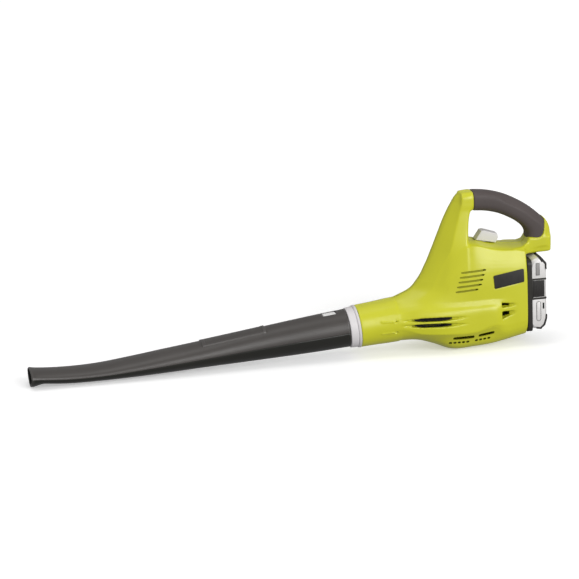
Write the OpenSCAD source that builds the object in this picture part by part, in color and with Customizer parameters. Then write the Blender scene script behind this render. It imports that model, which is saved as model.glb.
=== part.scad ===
// Cordless leaf blower: two-half clamshell body with an axial fan in its neck, a long
// tapered outlet tube, a loop handle and a slide-in battery pack at the rear.
// Frame: +X to the rear, +Z up, Y across. Z = 0 is the floor that the belly and the
// outlet foot lie on.

/* [Body] */
// Wall thickness of the clamshell
wall = 2.8; // [2.2:0.1:3.4]
// Depth of the side vents along the body
vent_w = 3.0; // [2:0.1:4]
// Rearmost plane of the body, where the battery sits
rear_x = 357.5; // [356:0.5:359]

/* [Neck and fan] */
// Tilt of the tube and fan axis above the horizontal, in degrees
pitch = 5; // [4:0.1:6]
// Outer radius of the air duct in the neck
duct_r = 29.0; // [28:0.1:29.2]
// Number of fan blades
blades = 9; // [5:1:11]
// Number of straightening vanes
vanes = 7; // [5:1:9]
// Gap between the blade tips and the duct
tip_gap = 0.6; // [0.4:0.1:1.2]
// Radius of the motor can
motor_r = 19.0; // [17:0.5:19]

/* [Tube] */
// Wall of the outlet tube
tube_wall = 2.2; // [1.8:0.1:2.6]
// Bore radius where the tube pushes onto the spigot
socket_r = 26.0; // [25.8:0.1:26.2]
// Half width of the scraper foot under the outlet
foot_w = 18.5; // [14:0.5:20]

/* [Handle] */
// Half width of the loop handle
grip_w = 16.5; // [15:0.5:18]
// Thickness of the rubber overmould
grip_t = 2.6; // [2:0.1:3]

/* [Battery] */
// Half width of the battery pack
tab_s = -34.7; // [-36:0.1:-28] front end of the tube lock tab, along the fan axis
tab_w = 8; // [6:0.5:9] half width of the tube lock tab
batt_w = 38.5; // [37:0.5:39]
// Number of round cells in the pack
cells = 5; // [4:1:5]
// Radius of one cell
cell_r = 9.1; // [9:0.05:9.2]
// Length of the stem that goes into the body
stem_l = 44; // [36:1:46]

/* [Hidden] */
x_shift = -2.15;
fan_at = [84, 0, 44.5];
green = [0.74, 0.80, 0.16];
black = [0.13, 0.12, 0.12];
rubber = [0.28, 0.24, 0.24];
pale = [0.80, 0.79, 0.80];
metal = [0.62, 0.62, 0.64];
copper = [0.70, 0.40, 0.22];

// ---------- frames ----------
module place() translate([x_shift, 0, 0]) children();
// local X runs along the fan axis from the rear end of the tube
module on_axis() place() translate(fan_at) rotate([0, -pitch, 0]) children();
// a turned part: local Z of the children along the fan axis
module turned(s = 0) on_axis() translate([s, 0, 0]) rotate([0, 90, 0]) children();
module ring(ro, ri, h) difference() {
    cylinder(r = ro, h = h, $fn = 96);
    translate([0, 0, -1]) cylinder(r = ri, h = h + 2, $fn = 96);
}
// a bar across Y at (x, z)
module cross_bar(x, z, r, y0, y1, fn = 24) translate([x, y0, z]) rotate([-90, 0, 0])
    cylinder(r = r, h = y1 - y0, $fn = fn);

// ---------- lofts ----------
// half sections run from one end of the mid plane to the other with the second value >= 0
function both(h) = concat(h, [for (i = [len(h) - 2:-1:1]) [h[i][0], -h[i][1]]]);
function inset(h, t) = let (n = len(h) - 1) [for (i = [0:n])
    let (a = i == 0 ? [h[1][0], -h[1][1]] : h[i - 1],
         b = i == n ? [h[n - 1][0], -h[n - 1][1]] : h[i + 1],
         d = b - a, l = norm(d),
         p = [h[i][0] + t * d[1] / l, h[i][1] - t * d[0] / l])
    [p[0], i == 0 || i == n ? 0 : max(p[1], 0.05)]];
function turn_round(r) = [for (i = [len(r) - 1:-1:0]) r[i]];
module loft(rings) {
    m = len(rings);
    n = len(rings[0]);
    mid0 = [for (k = [0:2]) (rings[0][0][k] + rings[0][n / 2][k]) / 2];
    mid1 = [for (k = [0:2]) (rings[m - 1][0][k] + rings[m - 1][n / 2][k]) / 2];
    pts = concat([for (r = rings) for (p = r) p], [mid0, mid1]);
    sides = [for (k = [0:m - 2]) for (i = [0:n - 1]) let (j = (i + 1) % n)
        for (t = [0, 1]) t == 0 ? [k * n + i, (k + 1) * n + i, (k + 1) * n + j]
                                : [k * n + i, (k + 1) * n + j, k * n + j]];
    cap0 = [for (i = [0:n - 1]) [m * n, i, (i + 1) % n]];
    cap1 = [for (i = [0:n - 1]) [m * n + 1, (m - 1) * n + (i + 1) % n, (m - 1) * n + i]];
    polyhedron(points = pts, faces = concat(sides, cap0, cap1));
}
// round ring of half width b and half height c across X at (x, z)
function oval(x, z, b, c, n = 32) = [for (i = [0:n - 1]) let (a = 360 * i / n - 90)
    [x, b * cos(a), z + c * sin(a)]];

// ---------- the lower body: sections across X, each a list of [z, half width] ----------
function body_z() = [
    [140, [[16.2, 0], [18.2, 11.4], [24, 21.4], [32.8, 28.8], [43.6, 32.7], [49.4, 33.2],
        [55.2, 32.7], [66, 28.8], [72, 24], [75, 21.4], [78, 16.4], [80.6, 11.4], [81.6, 6],
        [82.6, 0]]],
    [165, [[18.2, 0], [19.6, 11.8], [25, 22.6], [33, 30.8], [43, 35.4], [51, 36.4],
        [59, 35.6], [68, 31.6], [74, 26.4], [78, 22], [81, 17], [84, 11.8], [85.6, 6],
        [86.6, 0]]],
    [190, [[17.6, 0], [18.8, 13.5], [23.6, 25.6], [32, 35], [42, 40.6], [53, 42],
        [64, 40.8], [72, 36.4], [78, 31], [83, 26], [88, 20], [92, 12.5], [94, 6],
        [96, 0]]],
    [215, [[10, 0], [11, 15], [17, 27.6], [28, 38], [38, 44.6], [52, 46.6],
        [65, 45], [72.6, 39.6], [80, 35], [90, 30], [100, 24], [109, 16], [114, 8],
        [117, 0]]],
    [240, [[-0.5, 0], [-0.3, 14], [6.4, 31], [21, 41], [34, 46.6], [50, 48.6],
        [65.5, 47.2], [72.6, 42], [80, 39], [100, 36], [122, 31], [140, 22], [147, 12],
        [150, 0]]],
    [275, [[-0.5, 0], [-0.3, 14], [6.2, 32.4], [20, 42], [33, 47.2], [50, 49.4],
        [65.5, 48.8], [72.8, 44], [80, 41.6], [106, 41.4], [132, 38.6], [161.6, 30],
        [165.4, 19], [167.6, 0]]],
    [305, [[3.4, 0], [4.2, 20], [9.8, 33], [23, 42], [36, 46.8], [50, 49.4],
        [65.5, 49], [73, 44.6], [80, 42.2], [106, 42.2], [131, 40], [155.2, 31.4],
        [158.6, 20], [160.4, 0]]],
    [320, [[6, 0], [6.8, 20], [12.2, 33], [24.6, 41.2], [38, 43.6], [50, 43.8],
        [65.5, 43.6], [73, 43.2], [80, 42.6], [106, 42.4], [130, 40.6], [152.2, 32],
        [155.6, 21], [157.4, 0]]],
    [345, [[11.5, 0], [12.3, 20], [17, 32], [28, 39.6], [40, 41.6], [52, 42.2],
        [66, 42.4], [73, 42.4], [82, 42.4], [106, 42], [128, 40.2], [150, 32.2],
        [152.8, 21.5], [154.3, 0]]],
    [rear_x, [[14, 0], [14.8, 19.6], [19.4, 31], [30, 38.2], [41, 40.2], [53, 40.8],
        [66, 41], [74, 41], [83, 41], [105, 40.6], [124, 39], [147.4, 32], [151, 21.5],
        [152.8, 0]]]];
module lower_body(t = 0, rear = 0) {
    s = body_z();
    loft([for (k = [0:len(s) - 1])
        let (h = t > 0 ? inset(s[k][1], t) : s[k][1],
             x = k == len(s) - 1 ? s[k][0] - rear : s[k][0])
        [for (p = both(h)) [x, p[1], p[0]]]]);
}
// ---------- the fin and front pillar: sections across Z, each a list of [x, half width] ----
function fin_x() = [
    [58, [[136, 0], [138, 8], [150, 20], [172, 30], [205, 38], [240, 41], [272, 41], [272, 0]]],
    [84, [[154, 0], [156, 6], [172, 16], [190, 24], [218, 34], [244, 38.5], [272, 41], [272, 0]]],
    [96, [[180, 0], [182, 5.5], [194, 14], [208, 23], [230, 32], [250, 37.5], [272, 41], [272, 0]]],
    [110, [[194, 0], [195.6, 5.5], [207, 15], [218, 22.4], [236, 31], [252, 36.6], [272, 41],
        [272, 0]]],
    [131, [[206.5, 0], [208, 5.5], [219, 15.4], [228, 21.4], [242, 28.6], [255, 34], [272, 38.2],
        [272, 0]]],
    [155, [[217.4, 0], [219, 5.4], [231, 15.6], [240, 21], [248, 24.6], [258, 28], [272, 30.6],
        [272, 0]]],
    [180, [[228, 0], [229.6, 5.4], [241, 15.4], [248.4, 19.4], [253, 20.6], [262, 22.4],
        [272.6, 23.6], [272.6, 0]]],
    [205, [[238.8, 0], [240.4, 5.2], [250, 14], [255.4, 17], [260, 17.8], [267, 18.8],
        [275.4, 19.2], [275.4, 0]]],
    [225, [[249.8, 0], [251.4, 5], [257, 11], [261, 14.4], [265, 15.4], [271, 16.4],
        [281.4, 16.4], [281.4, 0]]],
    [236, [[257.6, 0], [259, 4.6], [262.4, 9], [265, 11.6], [268, 13.2], [273, 14.6],
        [281.4, 14.6], [281.4, 0]]],
    [241.4, [[264.6, 0], [265.4, 3.4], [267.4, 6], [269, 7.6], [271, 8.8], [275, 10],
        [281.4, 10], [281.4, 0]]]];
module fin(t = 0) {
    s = fin_x();
    loft([for (k = [0:len(s) - 1])
        let (h = t > 0 ? inset(s[k][1], t) : s[k][1],
             z = s[k][0] - (t > 0 && k == len(s) - 1 ? t : 0))
        turn_round([for (p = both(h)) [p[0], p[1], z]])]);
}
module neck(r0, r1, s0, s1) translate(fan_at) rotate([0, -pitch, 0]) translate([s0, 0, 0])
    rotate([0, 90, 0]) cylinder(r1 = r0, r2 = r1, h = s1 - s0, $fn = 64);

// ---------- the loop handle: [x, z, half thickness, heading] along its middle ----------
function loop() = [[266, 227.6, 13.4, 2], [281.6, 226.8, 15.4, -3], [304, 224.4, 15.3, -10],
    [326, 218.4, 15.1, -21], [346, 208.8, 14.9, -29], [362, 198.4, 15, -38], [374, 187.4, 15.8, -52],
    [382.6, 175.6, 19, -68],
    [385.1, 162, 19.5, -84], [385.4, 150.6, 19.4, -88]];
module handle(t = 0) loft([for (p = loop())
    [for (i = [0:19]) let (a = i * 18 + 9, q = 0.62,
        u = (p[2] - t) * sign(sin(a)) * pow(abs(sin(a)), q))
        [p[0] - u * sin(p[3]), (grip_w - t) * sign(cos(a)) * pow(abs(cos(a)), q),
         p[1] + u * cos(p[3])]]]);
// the tail that joins the handle to the rear of the body
module tail(t = 0) hull() for (p = [[351, 141.8, 5, 29], [351, 149.6, 5, 25],
    [397.3, 149, 6.6, 15.6], [371, 150.4, 5, 19]])
    cross_bar(p[0], p[1], p[2] - t, -p[3] + t, p[3] - t, 32);
// the part of the handle that the rubber covers
module rubber_zone(g = 0) translate([0, -60, 0]) rotate([-90, 0, 0])
    mirror([0, 1, 0]) linear_extrude(height = 120) offset(delta = g)
    polygon([[282.3, 190], [282.3, 260], [345, 260], [394.4, 187.4], [391, 172], [387, 163.4],
        [378, 158.6], [366, 160.4], [358, 164], [340, 190]]);

// ---------- the clamshell ----------
bosses = [[262, 34, 26], [336, 34, 33], [341, 139, 24], [238, 128, 18], [268, 214, 9], [386, 158, 9]];
module outer_form() {
    lower_body();
    fin();
    neck(32.3, 33.3, 16, 62);
    tail();
    handle(grip_t);
    difference() {
        handle();
        rubber_zone(0.05);
    }
}
module inner_form() {
    lower_body(wall, wall);
    fin(wall);
    neck(29.7, 30.2, 10, 90);
    tail(wall);
    handle(grip_t + 2.4);
}
module vents(side) for (i = [0:4]) hull() for (k = [0, 1])
    translate([k == 0 ? 255 - i * 2.4 : 292.5 - i * 2.5 - (i == 4 ? 3 : 0), side * 40,
        k == 0 ? 123.6 - i * 7.2 : 126.4 - i * 7.2]) rotate([90, 0, 0])
        cylinder(r = vent_w / 2, h = 24, center = true, $fn = 12);
module scoops(side) for (z = [[64.6, 73.2], [48.4, 59.6]]) hull() {
    translate([314, side > 0 ? 38 : -50, z[0]]) cube([7, 12, z[1] - z[0]]);
    translate([332, side > 0 ? 38 : -44, (z[0] + z[1]) / 2 - 1]) cube([3, 6, 2]);
}
module belly_slots(side) for (r = [[240, 272, 23.6, 0], [278, 303, 25.2, 1.6],
    [233, 265, 15.6, 0], [273, 298, 17, 1.6]]) hull() for (k = [0, 1])
    translate([r[k], side * (r[2] < 20 ? 32 : 38), r[2] + k * r[3]]) rotate([90 - side * 35, 0, 0])
        cylinder(r = 1.7, h = 20, center = true, $fn = 12);
module neck_slots(side) for (z = [47.2, 56.4]) hull() for (k = [0, 1])
    translate([176 + k * 50, side * (41 + k * 3.6), z + k * 0.6]) sphere(r = 1.6 + k * 1.2, $fn = 16);
// the slide switch stands on the sloping floor of the hand opening
floor_z = 161.9;
module on_floor() place() translate([300, 0, floor_z]) rotate([0, 12, 0]) children();
module badge_form(side, g, y0, h) translate([0, side > 0 ? y0 : -y0 - h, 0]) rotate([-90, 0, 0])
    mirror([0, 1, 0]) linear_extrude(height = h) offset(r = 2 + g, $fn = 24) offset(delta = -2)
    polygon([[303.6, 116.4], [351, 123.6], [351.4, 103], [305.2, 95.6]]);
module ribs() intersection() {
    lower_body(wall - 0.4);
    union() {
        // two plates across the body locate the duct and the motor
        for (s = [48, 126]) translate(fan_at) rotate([0, -pitch, 0]) translate([s, 0, 0])
            difference() {
                translate([0, -60, -60]) cube([2.4, 120, 160]);
                rotate([0, 90, 0]) translate([0, 0, -1])
                    cylinder(r = s < 60 ? duct_r : duct_r + 4.6, h = 5, $fn = 72);
                translate([-1, -60, 34]) cube([5, 120, 90]);
            }
        // two shelves carry the battery socket and the switch
        translate([316, -60, 71.6]) cube([36, 120, 2.4]);
        translate([283, -60, 130.6]) cube([30, 120, 2.4]);
    }
}
module housing_half(side) intersection() {
    translate([0, side > 0 ? 0 : -100, -20]) cube([500, 100, 300]);
    difference() {
        union() {
            difference() {
                outer_form();
                inner_form();
            }
            ribs();
            for (b = bosses) intersection() {
                cross_bar(b[0], b[1], side > 0 ? 5.6 : 4.2, side > 0 ? 0 : -60, side > 0 ? 60 : 0);
                union() {
                    lower_body(1);
                    fin(1);
                    handle(grip_t + 1);
                }
            }
        }
        vents(side);
        scoops(side);
        belly_slots(side);
        neck_slots(side);
        badge_form(side, 0.2, 41.7, 10);
        // window for the battery stem
        translate([rear_x - 8, -21.4, 73.9]) cube([20, 42.8, 44.2]);
        // slot for the slide switch
        translate([300, 0, floor_z]) rotate([0, 12, 0]) translate([-15.6, -4.6, -8]) cube([26.4, 9.2, 12]);
        // screw holes
        for (b = bosses) {
            cross_bar(b[0], b[1], side > 0 ? 2.2 : 1.9, side > 0 ? -1 : -14, side > 0 ? 60 : 1);
            if (side > 0) cross_bar(b[0], b[1], 4, b[2], 60);
        }
        // the belly is flat where it meets the floor
        translate([100, -100, -10]) cube([300, 200, 10]);
    }
}
module housing_left() color(green) place() housing_half(-1);
module housing_right() color(green) place() housing_half(1);
module grip_half(side) difference() {
    intersection() {
        handle();
        rubber_zone();
        translate([0, side > 0 ? 0 : -100, 100]) cube([500, 100, 300]);
    }
    handle(grip_t);
}
module grip_left() color(rubber) place() grip_half(-1);
module grip_right() color(rubber) place() grip_half(1);
module badge_left() color(black) place() badge_form(-1, 0, 41.7, 1.3);
module badge_right() color(black) place() badge_form(1, 0, 41.7, 1.3);

// ---------- collar, tube and lock tab ----------
module outlet_collar() color(pale) difference() {
    union() {
        turned(-37) cylinder(r = socket_r - 0.4, h = 41);
        turned(0.4) cylinder(r1 = 30.6, r2 = 31.2, h = 12.6);
        turned(13) cylinder(r1 = 32.2, r2 = 32.9, h = 2.9);
        turned(13) cylinder(r = 29.4, h = 14.8);
    }
    turned(-38) cylinder(r = 23.4, h = 52);
    turned(10) cylinder(r1 = 23.4, r2 = 26.8, h = 18);
    // pocket for the lock tab
    on_axis() translate([tab_s - 0.4, -tab_w - 0.4, 18]) cube([20.2, 2 * tab_w + 0.8, 12]);
}
function tube_st() = [[-400, 17, 25, 11], [-385, 15.6, 24.6, 10.8], [-350, 13, 25, 11.4],
    [-300, 12.9, 26.5, 12.2], [-250, 15.8, 27.5, 14.6], [-200, 19.8, 28, 17.2], [-140, 24.9, 27.5, 19.8],
    [-80, 30.1, 26.4, 23], [-20, 35.4, 26.6, 26], [30, 39.8, 28, 28], [88, 44.9, 29.2, 29.2]];
module tube_skin(t, back = 0) loft([for (k = [0:10]) let (p = tube_st()[k])
    oval(p[0] + (k == 0 ? -back : k == 10 ? back : 0), p[1], p[2] - t, p[3] - t, 36)]);
module blow_tube() color(black) place() difference() {
    union() {
        tube_skin(0);
        // scraper foot under the outlet, hollow at its back
        hull() {
            translate([-400.4, -foot_w, 0]) cube([1.6, 2 * foot_w, 8]);
            translate([-384, -foot_w + 5, 5]) cube([3, 2 * foot_w - 10, 4]);
        }
        // raised plain plaque on the crest
        hull() for (x = [-138, -48]) translate([x, 0, 43.6 + (x + 138) * 0.132])
            scale([1, 1, 0.16]) sphere(r = 9, $fn = 24);
        // twin keel ribs where the tube meets the collar, and stiffeners under the outlet
        for (k = [-1, 1]) hull() for (x = [20, 70])
            translate([x, k * 27, 38.4 + (x - 20) * 0.088]) sphere(r = 1.8, $fn = 12);
        for (k = [-1:1]) hull() for (x = [-398, -386])
            translate([x, k * 9, 7.4]) cube([1.5, 1.5, 2]);
    }
    tube_skin(tube_wall, 2);
    translate(fan_at) rotate([0, -pitch, 0]) translate([-38, 0, 0]) rotate([0, 90, 0])
        cylinder(r = socket_r, h = 42, $fn = 96);
    // window for the lock tab and the key way behind it
    translate(fan_at) rotate([0, -pitch, 0]) translate([tab_s - 1.8, -tab_w - 1, 20])
        cube([22.6, 2 * tab_w + 2, 20]);
    translate(fan_at) rotate([0, -pitch, 0]) intersection() {
        translate([tab_s + 16, -tab_w - 1, 20]) cube([-tab_s - 14, 2 * tab_w + 2, 20]);
        translate([tab_s + 14, 0, 0]) rotate([0, 90, 0]) cylinder(r = 28.1, h = 28, $fn = 96);
    }
    // the rear end is square to the fan axis, and nothing reaches below the floor
    translate(fan_at) rotate([0, -pitch, 0]) translate([0, -60, -60]) cube([20, 120, 120]);
    translate([-420, -60, -20]) cube([520, 120, 20]);
}
module tube_lock_tab() color([0.93, 0.93, 0.92]) on_axis() intersection() {
    translate([tab_s, -tab_w, 19]) cube([19.4, 2 * tab_w, 9]);
    difference() {
        rotate([0, 90, 0]) translate([0, 0, tab_s - 2]) cylinder(r = 27.5, h = 24);
        rotate([0, 90, 0]) translate([0, 0, tab_s - 3]) cylinder(r = 23.6, h = 26);
    }
}

// ---------- slide switch ----------
module slider_profile() polygon([[-14.6, 0.6], [17.8, 0.6], [19.6, 9], [17.4, 14.6], [-4, 17],
    [-8.4, 15.4]]);
module switch_slider() color(pale) on_floor() difference() {
    union() {
        hull() {
            translate([0, 8.6, 0]) rotate([90, 0, 0]) linear_extrude(height = 17.2)
                offset(r = -0.9) slider_profile();
            translate([0, 7.6, 0]) rotate([90, 0, 0]) linear_extrude(height = 15.2) slider_profile();
        }
        translate([-8, -3.8, -5.4]) cube([11.4, 7.6, 7]);
        translate([-17, -7.6, -7]) cube([29, 15.2, 2]);
    }
    for (i = [0:3]) translate([-5.4 + i * 3.4, -5, 16.8 - i * 0.38]) rotate([0, 6.4, 0])
        cube([1.4, 10, 2]);
}
module switch_block() color(black) on_floor() difference() {
    union() {
        translate([-16, -8, -26]) cube([28, 16, 16]);
        for (x = [-13, 4]) translate([x, -5.5, -28]) cube([3, 11, 2.4]);
    }
    translate([-15, -6, -11.6]) cube([26, 12, 3]);
}

// ---------- badge, duct and fan ----------
module air_duct() color(black) difference() {
    union() {
        turned(28) cylinder(r = duct_r, h = 92);
        turned(119.9) cylinder(r1 = duct_r, r2 = 35, h = 20);
        turned(60) cylinder(r = duct_r + 0.6, h = 3);
    }
    turned(27) cylinder(r = 26.8, h = 93.2);
    turned(119.9) cylinder(r1 = 26.8, r2 = 33.2, h = 20.1);
}
module stator_vanes() color(black) {
    difference() {
        union() {
            turned(90) cylinder(r = motor_r + 2, h = 50);
            for (i = [0:vanes - 1]) on_axis() rotate([i * 360 / vanes + 12, 0, 0])
                translate([94, -1, motor_r + 1.4]) cube([24, 2, 26.7 - motor_r - 1.4]);
        }
        turned(92) cylinder(r = motor_r, h = 50);
        turned(89) cylinder(r = 6.2, h = 5);
        for (k = [-1, 1]) on_axis() translate([89, 0, k * 12.5]) rotate([0, 90, 0])
            cylinder(r = 1.6, h = 5, $fn = 32);
    }
}
module motor_can() color(metal) difference() {
    union() {
        turned(92) cylinder(r = motor_r, h = 52);
        turned(89.2) cylinder(r = 6.1, h = 3);
    }
    turned(93.6) cylinder(r = motor_r - 1.4, h = 52);
    turned(89) cylinder(r = 4.6, h = 5);
    for (k = [-1, 1]) on_axis() translate([91, 0, k * 12.5]) rotate([0, 90, 0])
        cylinder(r = 1.25, h = 4, $fn = 32);
}
module motor_magnets() color([0.25, 0.25, 0.27]) for (k = [0, 180]) on_axis() rotate([k, 0, 0])
    translate([102, 0, 0]) rotate([0, 90, 0]) rotate([0, 0, -55]) rotate_extrude(angle = 110, $fn = 96)
    translate([motor_r - 3.8, 0]) square([2.4, 30]);
module motor_end_cap() color(black) difference() {
    union() {
        turned(140) cylinder(r = motor_r - 1.45, h = 4.01);
        turned(144) cylinder(r = motor_r, h = 2.6);
        turned(146) cylinder(r = 7, h = 4);
    }
    turned(139) cylinder(r = 4.6, h = 12);
    for (k = [-1, 1]) on_axis() translate([139, k * 11.5 - 2, -3]) cube([12, 4, 6]);
}
module brush_holders() color([0.72, 0.58, 0.25]) for (k = [-1, 1]) on_axis() {
    translate([139.4, k * 11.5 - 1.8, -2.8]) cube([15, 3.6, 5.6]);
    translate([134.6, k * 9.6 - 3.6, -2]) cube([4.9, 7.2, 4]);
}
module bearing_at(s) color(metal) turned(s) ring(4.6, 1.64, 4);
module bearing_front() bearing_at(89.4);
module bearing_rear() bearing_at(144.6);
module rotor_shaft() color([0.7, 0.7, 0.72]) turned(56) cylinder(r = 1.59, h = 93);
module armature_core() color([0.45, 0.45, 0.47]) turned(103) difference() {
    linear_extrude(height = 28) difference() {
        circle(r = 14.4, $fn = 96);
        circle(r = 1.59, $fn = 96);
        for (i = [0:4]) rotate(i * 72) translate([12, 0]) square([6, 1.6], center = true);
        for (i = [0:4]) rotate(i * 72) translate([9, 0]) circle(r = 2.7, $fn = 48);
    }
}
module armature_windings() color(copper) {
    for (s = [98.2, 131]) turned(s) ring(12.4, 3.4, s < 100 ? 4.8 : 2.8);
    for (i = [0:4]) on_axis() rotate([i * 72, 0, 0]) translate([102.9, 0, 0])
        rotate([0, 90, 0]) translate([9, 0, 0]) cylinder(r = 2.6, h = 28.2, $fn = 48);
}
module commutator() color(copper) turned(131.2) difference() {
    union() {
        translate([0, 0, 4.7]) cylinder(r = 5.4, h = 3.6);
        cylinder(r = 3.3, h = 5);
    }
    translate([0, 0, -1]) cylinder(r = 1.59, h = 14);
    for (i = [0:4]) rotate(i * 72) translate([4.6, -0.25, 5.4]) cube([2, 0.5, 6]);
}
// twisted blades on a domed hub
function blade_ring(f) = let (r = 11.7 + f * (26.8 - tip_gap - 11.7), a = 52 - 22 * f, c = 7.5 + 1.5 * f)
    [for (q = [[-1, 0.2], [-0.5, 0.9], [0.2, 1], [1, 0.3], [1, -0.3], [0.2, -0.2], [-0.5, -0.2],
        [-1, -0.2]]) [q[0] * c * cos(a) - q[1] * sin(a), q[0] * c * sin(a) + q[1] * cos(a), r]];
module impeller() color([0.16, 0.16, 0.17]) difference() {
    union() {
        turned(64) cylinder(r1 = 9.5, r2 = 12.5, h = 6);
        turned(70) cylinder(r = 12.5, h = 14);
        for (i = [0:blades - 1]) on_axis() translate([76, 0, 0]) rotate([i * 360 / blades, 0, 0])
            loft([for (f = [0, 0.35, 0.7, 1]) turn_round(blade_ring(f))]);
    }
    turned(62) cylinder(r = 1.59, h = 30);
    turned(74) ring(11, 5, 12);
}
module impeller_nut() color(metal) turned(60.4) difference() {
    cylinder(r = 3.2, h = 3.6, $fn = 6);
    translate([0, 0, -1]) cylinder(r = 1.59, h = 6);
}
module motor_screws() color(metal) for (k = [-1, 1]) on_axis() translate([0, 0, k * 12.5])
    rotate([0, 90, 0]) {
        translate([0, 0, 88.2]) cylinder(r = 2.6, h = 1.8);
        translate([0, 0, 89.9]) cylinder(r = 1.2, h = 5);
    }
module housing_screws() color(metal) place() for (b = bosses) difference() {
    union() {
        cross_bar(b[0], b[1], 3.6, b[2], b[2] + 2.4);
        cross_bar(b[0], b[1], 1.7, -10, b[2] + 0.1);
    }
    cross_bar(b[0], b[1], 1.3, b[2] + 1.2, b[2] + 4, 6);
}

// ---------- battery socket, leads ----------
module battery_socket() color(black) place() difference() {
    translate([311, -20.4, 74.2]) cube([41, 40.8, 43.6]);
    translate([313, -18.4, 76.2]) cube([41, 36.8, 39.6]);
    for (z = [88, 104]) translate([310, -8.2, z - 0.6]) cube([5, 16.4, 1.2]);
}
module socket_terminals() color([0.72, 0.58, 0.25]) place() for (z = [88, 104])
    translate([303, -8, z - 0.5]) cube([18, 16, 1]);
module wire(path, y0, y1) place() loft([for (i = [0:len(path) - 1])
    let (a = path[max(i - 1, 0)], b = path[min(i + 1, len(path) - 1)], d = (b - a) / norm(b - a),
         y = y0 + (y1 - y0) * i / (len(path) - 1))
    [for (k = [0:7]) let (g = k * 45) [path[i][0] - 1.3 * sin(g) * d[1], y + 1.3 * cos(g),
        path[i][1] + 1.3 * sin(g) * d[0]]]]);
module wire_red() color([0.65, 0.1, 0.08]) wire([[238.4, 58.1], [241.2, 59.6], [254, 84], [266, 116],
    [273, 134], [278.8, 144.6]], -11.5, -5);
module wire_black() color([0.1, 0.1, 0.1]) wire([[237.9, 58], [256, 60], [276, 70], [292, 82],
    [302.6, 88]], 11.5, 5);

// ---------- battery pack ----------
module pack_side(g = 0) polygon([[365 + g, 27 + g], [378 - g / 2, 25 + g], [384.6 - g, 31 + g / 2],
    [387.8 - g, 42], [387.8 - g, 127], [379 - g / 2, 138.4 - g], [370, 135 - g], [365 + g, 132 - g]]);
module across(w) translate([0, w, 0]) rotate([90, 0, 0]) linear_extrude(height = 2 * w) children();
module battery_shell() color(black) place() difference() {
    union() {
        // front plate with a rounded rim
        hull() for (y = [-1, 1]) for (z = [29, 126]) translate([358, y * (batt_w - 8), z])
            rotate([0, 90, 0]) cylinder(r = 8, h = 7, $fn = 32);
        // stem
        translate([rear_x - stem_l + 2, -18, 76.7]) cube([stem_l, 36, 38.6]);
    }
    translate([rear_x - stem_l + 4, -16, 78.7]) cube([stem_l + 20, 32, 34.6]);
    for (z = [88, 104]) translate([rear_x - stem_l, -8.6, z - 1.4]) cube([9, 17.2, 2.8]);
    for (y = [-1, 1]) for (z = [34, 122]) translate([357, y * 32.6, z]) rotate([0, 90, 0]) {
        cylinder(r = 1.6, h = 9, $fn = 32);
        cylinder(r = 3.2, h = 4, $fn = 32);
    }
}
module battery_cover() color([0.72, 0.71, 0.72]) place() difference() {
    hull() {
        across(batt_w - 4) pack_side();
        across(batt_w) pack_side(3);
        translate([365, -batt_w + 0.4, 34]) cube([1, 2 * batt_w - 0.8, 88]);
    }
    difference() {
        translate([364, -36, 32]) cube([21.8, 72, 95]);
        for (y = [-1, 1]) for (z = [34, 122]) translate([363, y * 32.6, z]) rotate([0, 90, 0])
            cylinder(r = 3.8, h = 30, $fn = 32);
    }
    for (y = [-1, 1]) for (z = [34, 122]) translate([357, y * 32.6, z]) rotate([0, 90, 0])
        cylinder(r = 1.5, h = 17, $fn = 32);
    // windows for the latch buttons
    for (y = [-1, 1]) translate([366.2, y * batt_w - 8, 75.6]) cube([18, 16, 26.4]);
    // seats for the bumpers
    bumper_seats(0);
}
module bumper_seats(g) {
    translate([380.4 + g, -60, 129.4 + g]) rotate([0, -34, 0]) cube([20, 120, 14]);
    translate([382.4 + g, -60, 20]) rotate([0, 28, 0]) cube([20, 120, 16 - g]);
}
module battery_bumpers() color(black) place() intersection() {
    hull() {
        across(batt_w - 4) pack_side();
        across(batt_w) pack_side(3);
    }
    bumper_seats(0.05);
}
module battery_latch(side) color([0.2, 0.19, 0.19]) place() {
    translate([366.6, side > 0 ? 33.8 : -38.4, 76]) cube([17.2, 4.6, 25.6]);
    for (i = [0:4]) translate([369 + i * 2.6, side > 0 ? 38.3 : -38.7, 79]) cube([1.2, 0.4, 19.6]);
}
module battery_latch_left() battery_latch(-1);
module battery_latch_right() battery_latch(1);
function cell_z(i) = 79.5 + (i - (cells - 1) / 2) * 18.9;
module battery_cells() color([0.35, 0.5, 0.7]) place() for (i = [0:cells - 1])
    translate([375.4, -28, cell_z(i)]) rotate([-90, 0, 0]) cylinder(r = cell_r, h = 56);
module cell_holder() color(black) place() for (y = [-30.4, 28.1]) difference() {
    translate([366, y, 41]) cube([19.4, 2.3, 77]);
    for (i = [0:cells - 1]) translate([375.4, y - 1, cell_z(i)]) rotate([-90, 0, 0])
        cylinder(r = 4, h = 5);
}
module battery_board() color([0.1, 0.35, 0.2]) place() translate([318, -15, 94.6]) cube([38, 30, 1.6]);
module battery_terminals() color([0.75, 0.75, 0.76]) place() for (z = [88, 104])
    translate([318, -8, z - 1.9 + (z > 96 ? 2.8 : -0.8)]) cube([14, 16, 1.6]);
module battery_screws() color(metal) place() for (y = [-1, 1]) for (z = [34, 122])
    translate([0, y * 32.6, z]) rotate([0, 90, 0]) {
        translate([0, 0, 358.8]) cylinder(r = 3, h = 2.2);
        translate([0, 0, 360.9]) cylinder(r = 1.4, h = 11);
    }

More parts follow.
